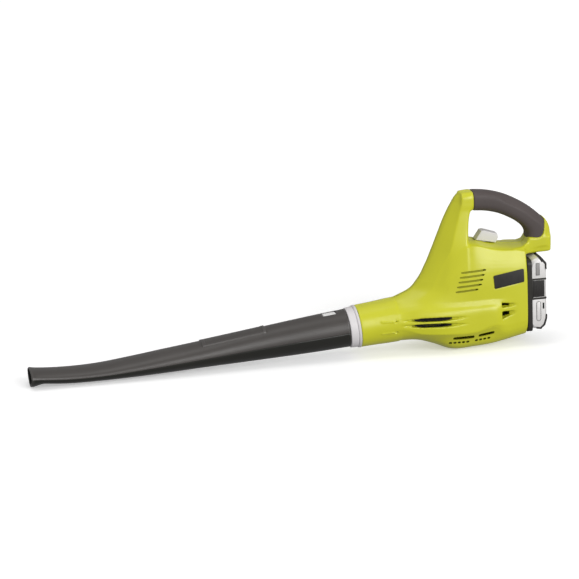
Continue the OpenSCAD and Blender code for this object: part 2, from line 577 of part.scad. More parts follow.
housing_left();
housing_right();
grip_left();
grip_right();
outlet_collar();
blow_tube();
tube_lock_tab();
switch_slider();
badge_left();
badge_right();
battery_shell();
battery_cover();
battery_bumpers();
battery_latch_left();
battery_latch_right();
air_duct();
stator_vanes();
motor_can();
motor_magnets();
motor_end_cap();
brush_holders();
bearing_front();
bearing_rear();
rotor_shaft();
armature_core();
armature_windings();
commutator();
impeller();
impeller_nut();
motor_screws();
switch_block();
battery_socket();
socket_terminals();
wire_red();
wire_black();
housing_screws();
battery_cells();
cell_holder();
battery_board();
battery_terminals();
battery_screws();
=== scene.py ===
"""Cordless leaf blower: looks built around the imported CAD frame.

The soft moulded shells (body, handle rubber) are signed-distance shapes meshed with OpenVDB, the tube and the
small parts are mesh code, and the exact inner parts stay CAD nodes with better materials.
"""
import math

import bmesh
import bpy
import numpy as np
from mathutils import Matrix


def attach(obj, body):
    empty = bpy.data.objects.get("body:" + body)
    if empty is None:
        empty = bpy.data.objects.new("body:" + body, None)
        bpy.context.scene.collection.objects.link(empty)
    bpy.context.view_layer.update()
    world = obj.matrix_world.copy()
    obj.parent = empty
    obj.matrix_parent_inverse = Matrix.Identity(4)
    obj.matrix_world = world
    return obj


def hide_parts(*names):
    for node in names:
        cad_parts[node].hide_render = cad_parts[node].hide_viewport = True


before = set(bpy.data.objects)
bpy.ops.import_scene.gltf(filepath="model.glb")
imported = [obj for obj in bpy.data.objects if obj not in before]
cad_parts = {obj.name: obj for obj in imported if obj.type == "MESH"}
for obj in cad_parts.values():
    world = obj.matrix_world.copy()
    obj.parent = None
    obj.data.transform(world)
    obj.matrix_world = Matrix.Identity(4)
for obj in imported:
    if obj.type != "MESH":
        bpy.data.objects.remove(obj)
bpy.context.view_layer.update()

import openvdb
from mathutils import Matrix, Vector

# ------------------------------------------------------------------ settings (millimetres and degrees)
MM = 0.001
SHIFT_X = -2.15  # the drawing's zero sits this far behind the row frame's
VOXEL = 1.15
WALL = 2.7
PITCH = 5.0  # fan and tube axis above the horizontal
FAN_AT = (84.0, 0.0, 44.5)
NOSE_X, REAR_X = 122, 357.5  # the lower body's ends
FLOOR_Z = 161.9  # height of the hand opening's floor at the switch
TAB_S, TAB_W = -34.7, 8.0  # front end and half width of the tube lock tab, along the fan axis
GRIP_W = 16.5
GRIP_T = 2.6
COVER_Y = 38.2  # half width of the pack's moulded cover
FLOOR_LEAN = 12.0  # slope of the hand opening's floor
SEAM = 0.06  # each half stops this far short of the mid plane
BELLY_Z, SKIN_Y, SKIN_TOP, SKIN_REAR = 0.15, 49.1, 241.6, 404.2  # the outer skin keeps inside these
BADGE_Y = 41.7  # the badges sit in recesses this far from the mid plane
GROOVE_SHADE, GROOVE_BLACK, GROOVE_END = 3.6, 5.4, 14.0  # depths in the neck grooves where the darker green painted shade begins, where the black painted shade begins, and where both end
BLACK_SHADE_SLOT, GREEN_SHADE_SLOT = 1, 2  # material slots of a body half for the black and the darker green painted shade
FOOT_X = -379.0  # the tube's scraper foot starts here
SQUARE_X = 72.0  # the tube's rear end is square to the fan axis from here on
TUBE_WALL = 2.2
CAM_AZ, CAM_EL, CAM_DIST, CAM_ROLL = -11.5, 15.5, 4.5, 2.15
CAM_TARGET = (-0.0042, 0.0, 0.1126)
CAM_LENS = 186.5


# ------------------------------------------------------------------ camera, floor and light
def make_camera():
    a, e, roll = math.radians(CAM_AZ), math.radians(CAM_EL), math.radians(CAM_ROLL)
    back = Vector((math.sin(a) * math.cos(e), -math.cos(a) * math.cos(e), math.sin(e)))
    right = (-back).cross(Vector((0, 0, 1))).normalized()
    up = right.cross(-back)
    right, up = right * math.cos(roll) - up * math.sin(roll), up * math.cos(roll) + right * math.sin(roll)
    cam = bpy.data.objects.new("camera", bpy.data.cameras.new("camera"))
    bpy.context.scene.collection.objects.link(cam)
    rot = Matrix.Identity(4)
    for i, axis in enumerate((right, up, back)):
        for k in range(3):
            rot[k][i] = axis[k]
    for k in range(3):
        rot[k][3] = CAM_TARGET[k] + back[k] * CAM_DIST
    cam.matrix_world = rot
    cam.data.lens = CAM_LENS
    cam.data.sensor_width = 36
    cam.data.clip_end = 50
    bpy.context.scene.camera = cam


def area_light(name, place, target, size, power):
    data = bpy.data.lights.new(name, "AREA")
    data.shape, data.size, data.energy = "DISK", size, power
    lamp = bpy.data.objects.new(name, data)
    bpy.context.scene.collection.objects.link(lamp)
    lamp.location = place
    lamp.rotation_euler = (Vector(target) - Vector(place)).to_track_quat("-Z", "Y").to_euler()


def sun_light(name, direction, strength, spread):
    data = bpy.data.lights.new(name, "SUN")
    data.energy, data.angle = strength, math.radians(spread)
    lamp = bpy.data.objects.new(name, data)
    bpy.context.scene.collection.objects.link(lamp)
    lamp.rotation_euler = Vector(direction).to_track_quat("Z", "Y").to_euler()


def make_stage():
    me = bpy.data.meshes.new("floor")
    s = 14.0
    me.from_pydata([(-s, -s, 0), (s, -s, 0), (s, s, 0), (-s, s, 0)], [], [(0, 1, 2, 3)])
    floor = bpy.data.objects.new("floor", me)
    bpy.context.scene.collection.objects.link(floor)
    floor.location.z = -0.0004
    m = bpy.data.materials.new("floor_paper")
    m.use_nodes = True
    b = m.node_tree.nodes["Principled BSDF"]
    b.inputs["Base Color"].default_value = (0.93, 0.93, 0.93, 1)
    b.inputs["Roughness"].default_value = 0.9
    b.inputs["Specular IOR Level"].default_value = 0.1
    b.inputs["Emission Color"].default_value = (1, 1, 1, 1)
    b.inputs["Emission Strength"].default_value = 0.36
    me.materials.append(m)
    # the floor bounces no light: the undersides fall off to shade as under a studio lamp
    floor.visible_diffuse = floor.visible_glossy = False
    world = bpy.data.worlds.new("studio")
    world.use_nodes = True
    tree = world.node_tree
    direction = tree.nodes.new("ShaderNodeTexCoord").outputs["Generated"]
    height = tree.nodes.new("ShaderNodeSeparateXYZ")
    tree.links.new(direction, height.inputs[0])
    sky = tree.nodes.new("ShaderNodeMapRange")
    sky.inputs["From Min"].default_value, sky.inputs["From Max"].default_value = -0.35, 0.25
    sky.inputs["To Min"].default_value, sky.inputs["To Max"].default_value = 0.30, 0.44
    tree.links.new(height.outputs[2], sky.inputs["Value"])
    tree.links.new(sky.outputs[0], tree.nodes["Background"].inputs[1])
    tree.nodes["Background"].inputs[0].default_value = (1, 1, 1, 1)
    bpy.context.scene.world = world
    bpy.context.scene.view_settings.view_transform = "Standard"
    sun_light("key", (0.55, -1.2, 0.5), 2.05, 40)
    sun_light("top", (-0.2, 0.2, 1.4), 0.15, 60)
    area_light("strip", (-0.4, -0.2, 2.2), (-0.1, 0, 0.1), 1.2, 6)


# ------------------------------------------------------------------ materials
def add(tree, kind, **inputs):
    node = tree.nodes.new(kind)
    for key, value in inputs.items():
        if hasattr(value, "links") or isinstance(value, bpy.types.NodeSocket):
            tree.links.new(value, node.inputs[key.replace("_", " ")])
        elif key.replace("_", " ") in node.inputs:
            node.inputs[key.replace("_", " ")].default_value = value
        else:
            setattr(node, key, value)
    return node


def plastic(name, colour, rough=0.35, vary=0.05, grain=(900, 0.15), mottle=14, coat=0.0, ior=1.5,
            metallic=0.0, brushed=False, wear=None, wear_amount=0.5):
    """Moulded plastic: colour drift, fine moulded grain, rough patches, worn or rubbed edges."""
    m = bpy.data.materials.new(name)
    m.use_nodes = True
    t = m.node_tree
    b = t.nodes["Principled BSDF"]
    b.inputs["Metallic"].default_value = metallic
    b.inputs["IOR"].default_value = ior
    b.inputs["Coat Weight"].default_value = coat
    b.inputs["Coat Roughness"].default_value = 0.25
    co = t.nodes.new("ShaderNodeTexCoord").outputs["Object"]
    if brushed:
        mp = add(t, "ShaderNodeMapping", Vector=co)
        mp.inputs["Scale"].default_value = (1, 1, 12)
        co = mp.outputs[0]
    low = add(t, "ShaderNodeTexNoise", Vector=co)
    low.inputs["Scale"].default_value = mottle
    low.inputs["Detail"].default_value = 3
    ramp = t.nodes.new("ShaderNodeValToRGB")
    t.links.new(low.outputs[0], ramp.inputs[0])
    ramp.color_ramp.elements[0].position = 0.3
    ramp.color_ramp.elements[1].position = 0.7
    ramp.color_ramp.elements[0].color = tuple(c * (1 - vary) for c in colour) + (1,)
    ramp.color_ramp.elements[1].color = tuple(min(1, c * (1 + vary)) for c in colour) + (1,)
    colour_out = ramp.outputs[0]
    # handling marks: sparse fine scuffs that lighten or darken a little
    scuff = add(t, "ShaderNodeTexNoise", Vector=co)
    scuff.inputs["Scale"].default_value = 120
    scuff.inputs["Detail"].default_value = 6
    scuff.inputs["Roughness"].default_value = 0.7
    edge = add(t, "ShaderNodeNewGeometry").outputs["Pointiness"]
    mask = t.nodes.new("ShaderNodeMapRange")
    mask.inputs["From Min"].default_value = 0.515
    mask.inputs["From Max"].default_value = 0.56
    t.links.new(edge, mask.inputs["Value"])
    both = t.nodes.new("ShaderNodeMath")
    both.operation = "MULTIPLY"
    t.links.new(mask.outputs[0], both.inputs[0])
    t.links.new(scuff.outputs[0], both.inputs[1])
    scale = t.nodes.new("ShaderNodeMath")
    scale.operation = "MULTIPLY"
    scale.inputs[1].default_value = wear_amount
    t.links.new(both.outputs[0], scale.inputs[0])
    mix = t.nodes.new("ShaderNodeMix")
    mix.data_type = "RGBA"
    t.links.new(scale.outputs[0], mix.inputs[0])
    t.links.new(colour_out, mix.inputs[6])
    mix.inputs[7].default_value = (wear or tuple(min(1, c * 1.35 + 0.03) for c in colour)) + (1,)
    t.links.new(mix.outputs[2], b.inputs["Base Color"])
    rr = t.nodes.new("ShaderNodeMapRange")
    rr.inputs["To Min"].default_value = max(0.03, rough - 0.07)
    rr.inputs["To Max"].default_value = min(1, rough + 0.09)
    t.links.new(scuff.outputs[0], rr.inputs["Value"])
    t.links.new(rr.outputs[0], b.inputs["Roughness"])
    fine = add(t, "ShaderNodeTexNoise", Vector=co)
    fine.inputs["Scale"].default_value = grain[0]
    fine.inputs["Detail"].default_value = 2
    bump = t.nodes.new("ShaderNodeBump")
    bump.inputs["Strength"].default_value = grain[1]
    bump.inputs["Distance"].default_value = 0.0003
    t.links.new(fine.outputs[0], bump.inputs["Height"])
    t.links.new(bump.outputs[0], b.inputs["Normal"])
    return m


GREEN = (0.60, 0.605, 0.022)
LOOK = {
    "green": plastic("lime_plastic", GREEN, rough=0.33, vary=0.03, grain=(1400, 0.10), coat=0.04,
                     wear=(0.72, 0.76, 0.16), wear_amount=0.35),
    # darker green for groove and slot faces: painted shade standing in for the shade in the recesses
    "groove": plastic("groove_green_painted_shade", (0.30, 0.30, 0.012), rough=0.75, vary=0.12, grain=(900, 0.4), ior=1.4,
                      wear=(0.5, 0.5, 0.05), wear_amount=0.3),
    "rubber": plastic("grip_rubber", (0.076, 0.060, 0.057), rough=0.62, vary=0.10, grain=(1100, 0.45),
                      wear=(0.16, 0.145, 0.14)),
    "tube": plastic("tube_plastic", (0.052, 0.046, 0.042), rough=0.38, vary=0.10, grain=(1500, 0.16),
                    wear=(0.15, 0.145, 0.14), wear_amount=0.7),
    # darker copy of the tube plastic for the faces below the parting: painted shade on the underside
    "tube_painted_shade": plastic("tube_plastic_painted_shade", (0.012, 0.012, 0.009), rough=0.34, vary=0.10,
                        grain=(1500, 0.16), wear=(0.12, 0.115, 0.11), wear_amount=0.7),
    "collar": plastic("collar_plastic", (0.72, 0.695, 0.70), rough=0.42, vary=0.02, grain=(1200, 0.12)),
    "tab": plastic("tab_plastic", (0.84, 0.83, 0.82), rough=0.4, vary=0.02, grain=(1200, 0.10)),
    "switch": plastic("switch_plastic", (0.68, 0.665, 0.66), rough=0.40, vary=0.02, grain=(1300, 0.15)),
    "badge": plastic("badge_plastic", (0.022, 0.020, 0.018), rough=0.36, vary=0.08, grain=(1500, 0.08),
                     ior=1.38, wear=(0.2, 0.2, 0.19)),
    "silver": plastic("battery_pearl", (0.78, 0.76, 0.745), rough=0.36, vary=0.03, grain=(2600, 0.14),
                      metallic=0.2),
    "dark": plastic("battery_plastic", (0.020, 0.018, 0.015), rough=0.45, vary=0.10, grain=(1100, 0.3),
                    ior=1.4),
    "bumper": plastic("bumper_rubber", (0.022, 0.020, 0.020), rough=0.65, vary=0.10, grain=(900, 0.4)),
    "latch": plastic("latch_plastic", (0.018, 0.016, 0.015), rough=0.5, vary=0.10, grain=(1000, 0.3),
                     ior=1.4),
    "inner": plastic("inner_plastic", (0.035, 0.033, 0.033), rough=0.55, vary=0.12, grain=(1000, 0.3)),
    # black for the deepest groove floors: painted shade standing in for the dark inside the openings
    "black_shade": plastic("groove_black_painted_shade", (0.012, 0.012, 0.008), rough=0.95, vary=0.3, grain=(420, 1.0),
                    wear=(0.03, 0.03, 0.03)),
    "fan": plastic("fan_plastic", (0.05, 0.05, 0.055), rough=0.42, vary=0.08, grain=(1200, 0.2)),
    "steel": plastic("zinc_steel", (0.60, 0.60, 0.62), rough=0.32, vary=0.06, grain=(700, 0.15), metallic=1.0,
                     brushed=True),
    "magnet": plastic("ferrite", (0.09, 0.09, 0.095), rough=0.6, vary=0.15, grain=(700, 0.5)),
    "core": plastic("laminated_steel", (0.38, 0.38, 0.40), rough=0.4, vary=0.10, grain=(600, 0.3),
                    metallic=1.0, brushed=True),
    "copper": plastic("enamelled_copper", (0.66, 0.27, 0.12), rough=0.3, vary=0.12, grain=(500, 0.7),
                      metallic=1.0, brushed=True),
    "contact": plastic("bright_brass", (0.74, 0.55, 0.24), rough=0.28, vary=0.06, grain=(700, 0.15),
                       metallic=1.0),
    "red_wire": plastic("red_insulation", (0.45, 0.02, 0.015), rough=0.42, vary=0.06, grain=(900, 0.2)),
    "black_wire": plastic("black_insulation", (0.02, 0.02, 0.02), rough=0.42, vary=0.10, grain=(900, 0.2)),
    "cell": plastic("cell_wrap", (0.09, 0.22, 0.42), rough=0.28, vary=0.05, grain=(1600, 0.1), coat=0.3),
    "label": plastic("label_print", (0.30, 0.29, 0.285), rough=0.3, vary=0.05, grain=(2500, 0.08), coat=0.4),
    "board": plastic("solder_mask", (0.012, 0.14, 0.05), rough=0.3, vary=0.12, grain=(500, 0.4), coat=0.3),
}


# ------------------------------------------------------------------ signed distance shapes
def spline(xs, values, xq):
    """Cubic Hermite through the stations, with finite-difference slopes."""
    xs = np.asarray(xs, float)
    v = np.asarray(values, float)
    h = np.diff(xs)
    d = np.diff(v, axis=0) / h.reshape((-1,) + (1,) * (v.ndim - 1))
    m = np.empty_like(v)
    m[0], m[-1] = d[0], d[-1]
    w = (h[:-1] / (h[:-1] + h[1:])).reshape((-1,) + (1,) * (v.ndim - 1))
    m[1:-1] = d[:-1] * (1 - w) + d[1:] * w
    i = np.clip(np.searchsorted(xs, xq) - 1, 0, len(xs) - 2)
    t = np.clip((np.asarray(xq) - xs[i]) / h[i], 0, 1).reshape((-1,) + (1,) * (v.ndim - 1))
    hh = h[i].reshape((-1,) + (1,) * (v.ndim - 1))
    return ((2 * t**3 - 3 * t**2 + 1) * v[i] + (t**3 - 2 * t**2 + t) * hh * m[i]
            + (-2 * t**3 + 3 * t**2) * v[i + 1] + (t**3 - t**2) * hh * m[i + 1])


def refine(ring, sharp=(), times=2):
    """Corner cutting of a half ring (N stations, M points, 2), keeping its ends and the sharp points."""
    keep = [i == 0 or i == ring.shape[1] - 1 or i in sharp for i in range(ring.shape[1])]
    for _ in range(times):
        pts, flags = [], []
        for i in range(ring.shape[1]):
            if i == 0 or i == ring.shape[1] - 1:
                pts.append(ring[:, i])
                flags.append(True)
            elif keep[i]:
                pts += [ring[:, i] * 0.75 + ring[:, i - 1] * 0.25, ring[:, i],
                        ring[:, i] * 0.75 + ring[:, i + 1] * 0.25]
                flags += [False, True, False]
            else:
                pts += [ring[:, i] * 0.75 + ring[:, i - 1] * 0.25, ring[:, i] * 0.75 + ring[:, i + 1] * 0.25]
                flags += [False, False]
        ring, keep = np.stack(pts, 1), flags
    return ring


def ring_distance(ring, a, b):
    """Signed distance of the points (a, b), b >= 0, to each slice's open half ring (slices, M, 2)."""
    best = np.full(np.broadcast(ring[:, 0, 0].reshape(-1, 1), a).shape, 1e9, np.float32)
    odd = np.zeros(best.shape, bool)
    for i in range(ring.shape[1] - 1):
        p, q = ring[:, i].astype(np.float32), ring[:, i + 1].astype(np.float32)
        pa, pb, qa, qb = (v.reshape(-1, 1) for v in (p[:, 0], p[:, 1], q[:, 0], q[:, 1]))
        da, db = qa - pa, qb - pb
        t = np.clip(((a - pa) * da + (b - pb) * db) / np.maximum(da * da + db * db, 1e-9), 0, 1)
        best = np.minimum(best, (a - pa - t * da) ** 2 + (b - pb - t * db) ** 2)
        cross = (pa > a) != (qa > a)
        with np.errstate(divide="ignore", invalid="ignore"):
            at = pb + (a - pa) / np.where(np.abs(da) < 1e-9, 1e-9, da) * db
        odd ^= cross & (at > b)
    return np.where(odd, -1, 1) * np.sqrt(best)


def smin(a, b, k):
    """Smaller of two fields, blended over a width k."""
    h = np.clip(0.5 + 0.5 * (b - a) / k, 0, 1)
    return b * (1 - h) + a * h - k * h * (1 - h)


def smax(a, b, k):
    return -smin(-a, -b, k)


def polygon_2d(px, pz, pts):
    """Signed distance in a plane to a closed polygon."""
    best = np.full(px.shape, 1e9, np.float32)
    inside = np.zeros(px.shape, bool)
    n = len(pts)
    for i in range(n):
        (ax, az), (bx, bz) = pts[i], pts[(i + 1) % n]
        dx, dz = bx - ax, bz - az
        t = np.clip(((px - ax) * dx + (pz - az) * dz) / (dx * dx + dz * dz), 0, 1)
        best = np.minimum(best, (px - ax - t * dx) ** 2 + (pz - az - t * dz) ** 2)
        cross = (az > pz) != (bz > pz)
        if dz:
            inside ^= cross & (px < ax + (pz - az) / dz * dx)
    return np.where(inside, -1, 1) * np.sqrt(best)


def segment_2d(px, pz, a, b):
    """Distance in a plane to a segment, and how far along it the nearest point is."""
    dx, dz = b[0] - a[0], b[1] - a[1]
    t = np.clip(((px - a[0]) * dx + (pz - a[1]) * dz) / (dx * dx + dz * dz), 0, 1)
    return np.hypot(px - a[0] - t * dx, pz - a[1] - t * dz), t


# lower body: sections across X, [x, [[z, half width], ...]]
BODY = [
    [140, [[16.2, 0], [18.2, 11.4], [24, 21.4], [32.8, 28.8], [43.6, 32.7], [49.4, 33.2], [55.2, 32.7],
           [66, 28.8], [72, 24], [75, 21.4], [78, 16.4], [80.6, 11.4], [81.6, 6], [82.6, 0]]],
    [165, [[18.2, 0], [19.6, 11.8], [25, 22.6], [33, 30.8], [43, 35.4], [51, 36.4], [59, 35.6], [68, 31.6],
           [74, 26.4], [78, 22], [81, 17], [84, 11.8], [85.6, 6], [86.6, 0]]],
    [190, [[17.6, 0], [18.8, 13.5], [23.6, 25.6], [30.4, 34.4], [35.2, 39.2], [53, 42], [64, 40.8],
           [72, 36.4], [78, 31], [83, 26], [88, 20], [92, 12.5], [94, 6], [96, 0]]],
    [215, [[10, 0], [11, 15], [17, 27.6], [26, 37.4], [33.2, 44.4], [52, 46.6], [65, 45], [72.6, 39.6],
           [80, 35], [90, 30], [100, 24], [109, 16], [114, 8], [117, 0]]],
    [240, [[0.4, 0], [0.6, 14], [6.4, 31], [23.6, 40.8], [32.5, 47.8], [50, 48.7], [65.5, 47.2], [72.6, 42],
           [80, 39], [100, 36], [122, 31], [140, 22], [147, 12], [150, 0]]],
    [275, [[0.4, 0], [0.6, 14], [6.2, 32.4], [23.4, 41.4], [33, 48.5], [50, 49.2], [65.5, 48.6], [72.8, 44],
           [80, 41.6], [106, 41.4], [132, 38.6], [161.6, 30], [165.4, 19], [167.6, 0]]],
    [305, [[3.4, 0], [4.2, 20], [9.8, 33], [29, 42.2], [41.4, 48.4], [52, 49.2], [65.5, 48.8], [73, 44.6],
           [80, 42.2], [106, 42.2], [131, 40], [155.2, 31.4], [158.6, 20], [160.4, 0]]],
    [320, [[6, 0], [6.8, 20], [12.2, 33], [24.6, 41.2], [38, 43.6], [50, 43.8], [65.5, 43.6], [73, 43.2],
           [80, 42.6], [106, 42.4], [130, 40.6], [152.2, 32], [155.6, 21], [157.4, 0]]],
    [345, [[11.5, 0], [12.3, 20], [17, 32], [28, 39.6], [40, 41.6], [52, 42.2], [66, 42.4], [73, 42.4],
           [82, 42.4], [106, 42], [128, 40.2], [150, 32.2], [152.8, 21.5], [154.3, 0]]],
    [357.5, [[14, 0], [14.8, 19.6], [19.4, 31], [30, 38.2], [41, 40.2], [53, 40.8], [66, 41], [74, 41],
             [83, 41], [105, 40.6], [124, 39], [147.4, 32], [151, 21.5], [152.8, 0]]],
]
# fin and front pillar: sections across Z, [z, [[x, half width], ...]]
FIN = [
    [58, [[136, 0], [138, 8], [150, 20], [172, 29], [205, 36], [240, 38], [272, 39], [272, 0]]],
    [84, [[154, 0], [156, 6], [172, 16], [190, 24], [218, 33], [244, 37], [272, 39.5], [272, 0]]],
    [96, [[180, 0], [182, 5.5], [194, 14], [208, 23],
          [230, 31], [250, 36], [272, 39.5], [272, 0]]],
    [110, [[194, 0], [195.6, 5.5], [207, 15], [218, 22.4],
          [236, 30], [252, 35.4], [272, 39.5], [272, 0]]],
    [131, [[206.5, 0], [208, 5.5], [219, 15.4], [228, 21.4],
          [242, 28.6], [255, 33], [272, 37], [272, 0]]],
    [155, [[217.4, 0], [219, 5.4], [231, 14.8], [242, 23],
          [249, 25.2], [258, 27.6], [272, 30.6], [272, 0]]],
    [180, [[228, 0], [229.6, 5.4], [240, 13.6], [250, 20.8],
          [254.4, 21.4], [262, 22.4], [272.6, 23.6], [272.6, 0]]],
    [205, [[238.8, 0], [240.4, 5.2], [249, 12], [257.4, 18.4],
          [261, 18.7], [267, 19], [275.4, 19.2], [275.4, 0]]],
    [225, [[249.8, 0], [251.4, 5], [257, 10.4], [262.4, 15.6],
          [266, 16.2], [271, 16.4], [281.4, 16.4], [281.4, 0]]],
    [236, [[257.6, 0], [259, 4.6], [262.4, 9], [265, 11.6],
          [268, 13.2], [273, 14.6], [281.4, 14.6], [281.4, 0]]],
    [241.4, [[264.6, 0], [265.4, 3.4], [267.4, 6], [269, 7.6],
          [271, 8.8], [275, 10], [281.4, 10], [281.4, 0]]],
]
# handle: [x, z, half thickness, heading]
LOOP = [[266, 227.6, 13.4, 2], [281.6, 226.8, 15.4, -3], [304, 224.4, 15.3, -10], [326, 218.4, 15.1, -21],
        [346, 208.8, 14.9, -29], [362, 198.4, 15, -38], [374, 187.4, 15.8, -52], [382.6, 175.6, 19, -68],
        [385.1, 162, 19.5, -84], [385.4, 150.6, 19.4, -88]]
RUBBER = [(282.3, 190), (282.3, 260), (345, 260), (394.4, 187.4), (392.2, 178), (390.6, 170), (387.6, 163.8),
          (383, 160.4), (377, 159.2), (366, 161), (358, 164), (340, 190)]
TAIL = [(340, 136.8), (366, 139.3), (384, 139.4), (399, 139.7), (403.6, 141.2), (404.7, 146), (404.7, 164),
        (367.5, 164), (363.5, 157), (357, 152.6), (340, 150.5)]
# side louvres: front end and rear end of each; the lowest is shorter
VENTS = [((255 - 2.4 * i, 123.6 - 7.2 * i), (292.5 - 2.5 * i - (3 if i == 4 else 0), 126.4 - 7.2 * i))
         for i in range(5)]
# screws: x, z, distance of the seat from the mid plane
SCREWS = [(262, 34, 26), (336, 34, 33), (341, 139, 24), (238, 128, 18), (268, 214, 9), (386, 158, 9)]
# belly slots: x from, x to, z from, z to, how many in a row, height of the teeth along the top
BELLY = [(239, 272, 23.4, 23.8, 1, 0.9), (278.5, 303.5, 24.8, 27.8, 1, 0.6), (232, 265, 15.4, 15.8, 5, 0.0),
         (272, 298, 16.6, 18.8, 4, 0.0)]
BADGE = [(303.6, 116.4), (351, 123.6), (351.4, 103), (305.2, 95.6)]


def grid_axes(low, high):
    return [np.arange(low[k], high[k] + VOXEL, VOXEL, dtype=np.float32) for k in range(3)]


def body_rings(xs):
    """Half rings of the lower body, led by one inside the neck so that the two run into each other."""
    shrink = 0.94
    nose = [NOSE_X, [[47.8 + (z - 49.4) * shrink, h * shrink] for z, h in BODY[0][1]]]
    rows = [nose] + BODY
    ring = spline([r[0] for r in rows], [r[1] for r in rows], xs)
    return refine(ring, sharp=(4, 7, 8, 11))


def lower_body(xs, ya, zs):
    """Field of the neck root, belly and side pods, from sections across X."""
    ring = body_rings(xs)
    a, b = np.meshgrid(zs, ya, indexing="ij")
    d = ring_distance(ring, a.reshape(1, -1), b.reshape(1, -1))
    d = d.reshape(len(xs), len(zs), len(ya)).transpose(0, 2, 1)
    ends = np.maximum(NOSE_X - xs, xs - REAR_X).reshape(-1, 1, 1)
    return smax(d, ends, 1.6)


def fin_shape(xs, ya, zs):
    """Field of the fin and the front pillar, from sections across Z."""
    ring = spline([s[0] for s in FIN], [s[1] for s in FIN], zs)
    ring = refine(ring, sharp=(3,))
    a, b = np.meshgrid(xs, ya, indexing="ij")
    d = ring_distance(ring, a.reshape(1, -1), b.reshape(1, -1))
    d = d.reshape(len(zs), len(xs), len(ya)).transpose(1, 2, 0)
    ends = np.maximum(58 - zs, zs - 241.8).reshape(1, 1, -1)
    return smax(d, ends, 4.0)


def neck_shape(x, y, z):
    """Distance along the fan axis and out from it."""
    c, s = math.cos(math.radians(PITCH)), math.sin(math.radians(PITCH))
    dx, dz = x - FAN_AT[0], z - FAN_AT[2]
    along = dx * c + dz * s
    r = np.sqrt(y * y + (dz * c - dx * s) ** 2)
    return along, r


def handle_shape(x, y, z):
    """Field of the loop handle: a superellipse swept along its path."""
    p = np.array(LOOP, float)
    k = np.linspace(0, len(p) - 1, 46)
    path = spline(np.arange(len(p)), p, k)
    best = np.full(x.shape, 1e9, np.float32)
    u = np.zeros(x.shape, np.float32)
    way = np.zeros(x.shape, np.float32)
    half = np.full(x.shape, 15.0, np.float32)
    for i in range(len(path) - 1):
        a, b = path[i], path[i + 1]
        d2, tt = segment_2d(x, z, a[:2], b[:2])
        d2 = d2 * d2
        hd = np.radians(a[3] + (b[3] - a[3]) * tt)
        cx, cz = a[0] + (b[0] - a[0]) * tt, a[1] + (b[1] - a[1]) * tt
        closer = d2 < best
        best = np.where(closer, d2, best)
        u = np.where(closer, -(x - cx) * np.sin(hd) + (z - cz) * np.cos(hd), u)
        half = np.where(closer, a[2] + (b[2] - a[2]) * tt, half)
        way = np.where(closer, k[i], way)
    tail_x, tail_z, _, heading = path[-1]
    end = (x - tail_x) * math.cos(math.radians(heading)) + (z - tail_z) * math.sin(math.radians(heading))
    start = -(x - path[0][0])
    n = 3.0  # squareness of the section
    norm = ((np.abs(u) / half) ** n + (np.abs(y) / GRIP_W) ** n) ** (1 / n)
    d = (norm - 1) * np.minimum(half, GRIP_W) * 1.02
    # the rear of the grip is planed off along its upper shoulders
    lean = math.radians(50)
    off = 17.9 - 2.7 * np.clip((way - 2.2) / 1.0, 0, 1) + (half - 15) * 0.64
    d = smax(d, u * math.cos(lean) + np.abs(y) * math.sin(lean) - off, 0.8)
    return np.maximum(d, np.maximum(end, start - 2)).astype(np.float32)


def crop(low, high, xs, ys, zs):
    """Index slices of the grid that lie inside a box."""
    out = []
    for v, lo, hi in zip((xs, ys, zs), low, high):
        i = np.searchsorted(v, [lo, hi])
        out.append(slice(int(i[0]), int(i[1])))
    return tuple(out)


def body_fields():
    """The shared outer field on one half grid, y from the mid plane outward."""
    xs, ys, zs = grid_axes((92, 0, -4), (409, 54, 247))
    ys = ys - VOXEL * 2
    ya = np.abs(ys)
    x, y, z = xs.reshape(-1, 1, 1), ys.reshape(1, -1, 1), zs.reshape(1, 1, -1)
    f = smin(lower_body(xs, ya, zs), fin_shape(xs, ya, zs), 4.0)
    along, r = neck_shape(x, y, z)
    neck = smax(r - (32.3 + np.clip((along - 16) / 46, 0, 1.5)), np.maximum(16.2 - along, along - 75), 1.0)
    f = smin(f, neck, 2.5)
    side = polygon_2d(x + 0 * z, z + 0 * x, TAIL)
    wide = np.interp(xs, [340, 352, 366, 384, 405], [29, 26, 18.5, 16.8, 15.8]).reshape(-1, 1, 1)
    tail = smax(smax(side, np.abs(y) - wide, 4.0), x - (404.6 - 0.013 * y * y), 2.0)
    box = crop((250, -60, 130), (420, 60, 250), xs, ys, zs)
    hx, hy, hz = x[box[0]], y[:, box[1]], z[:, :, box[2]]
    hx, hz = np.broadcast_arrays(hx + 0 * hz, hz + 0 * hx)
    handle = np.full(f.shape, 60, np.float32)
    handle[box] = handle_shape(hx, hy, hz)
    zone = polygon_2d(x + 0 * z, z + 0 * x, RUBBER)
    return xs, ys, zs, x, y, z, f, tail, handle, zone


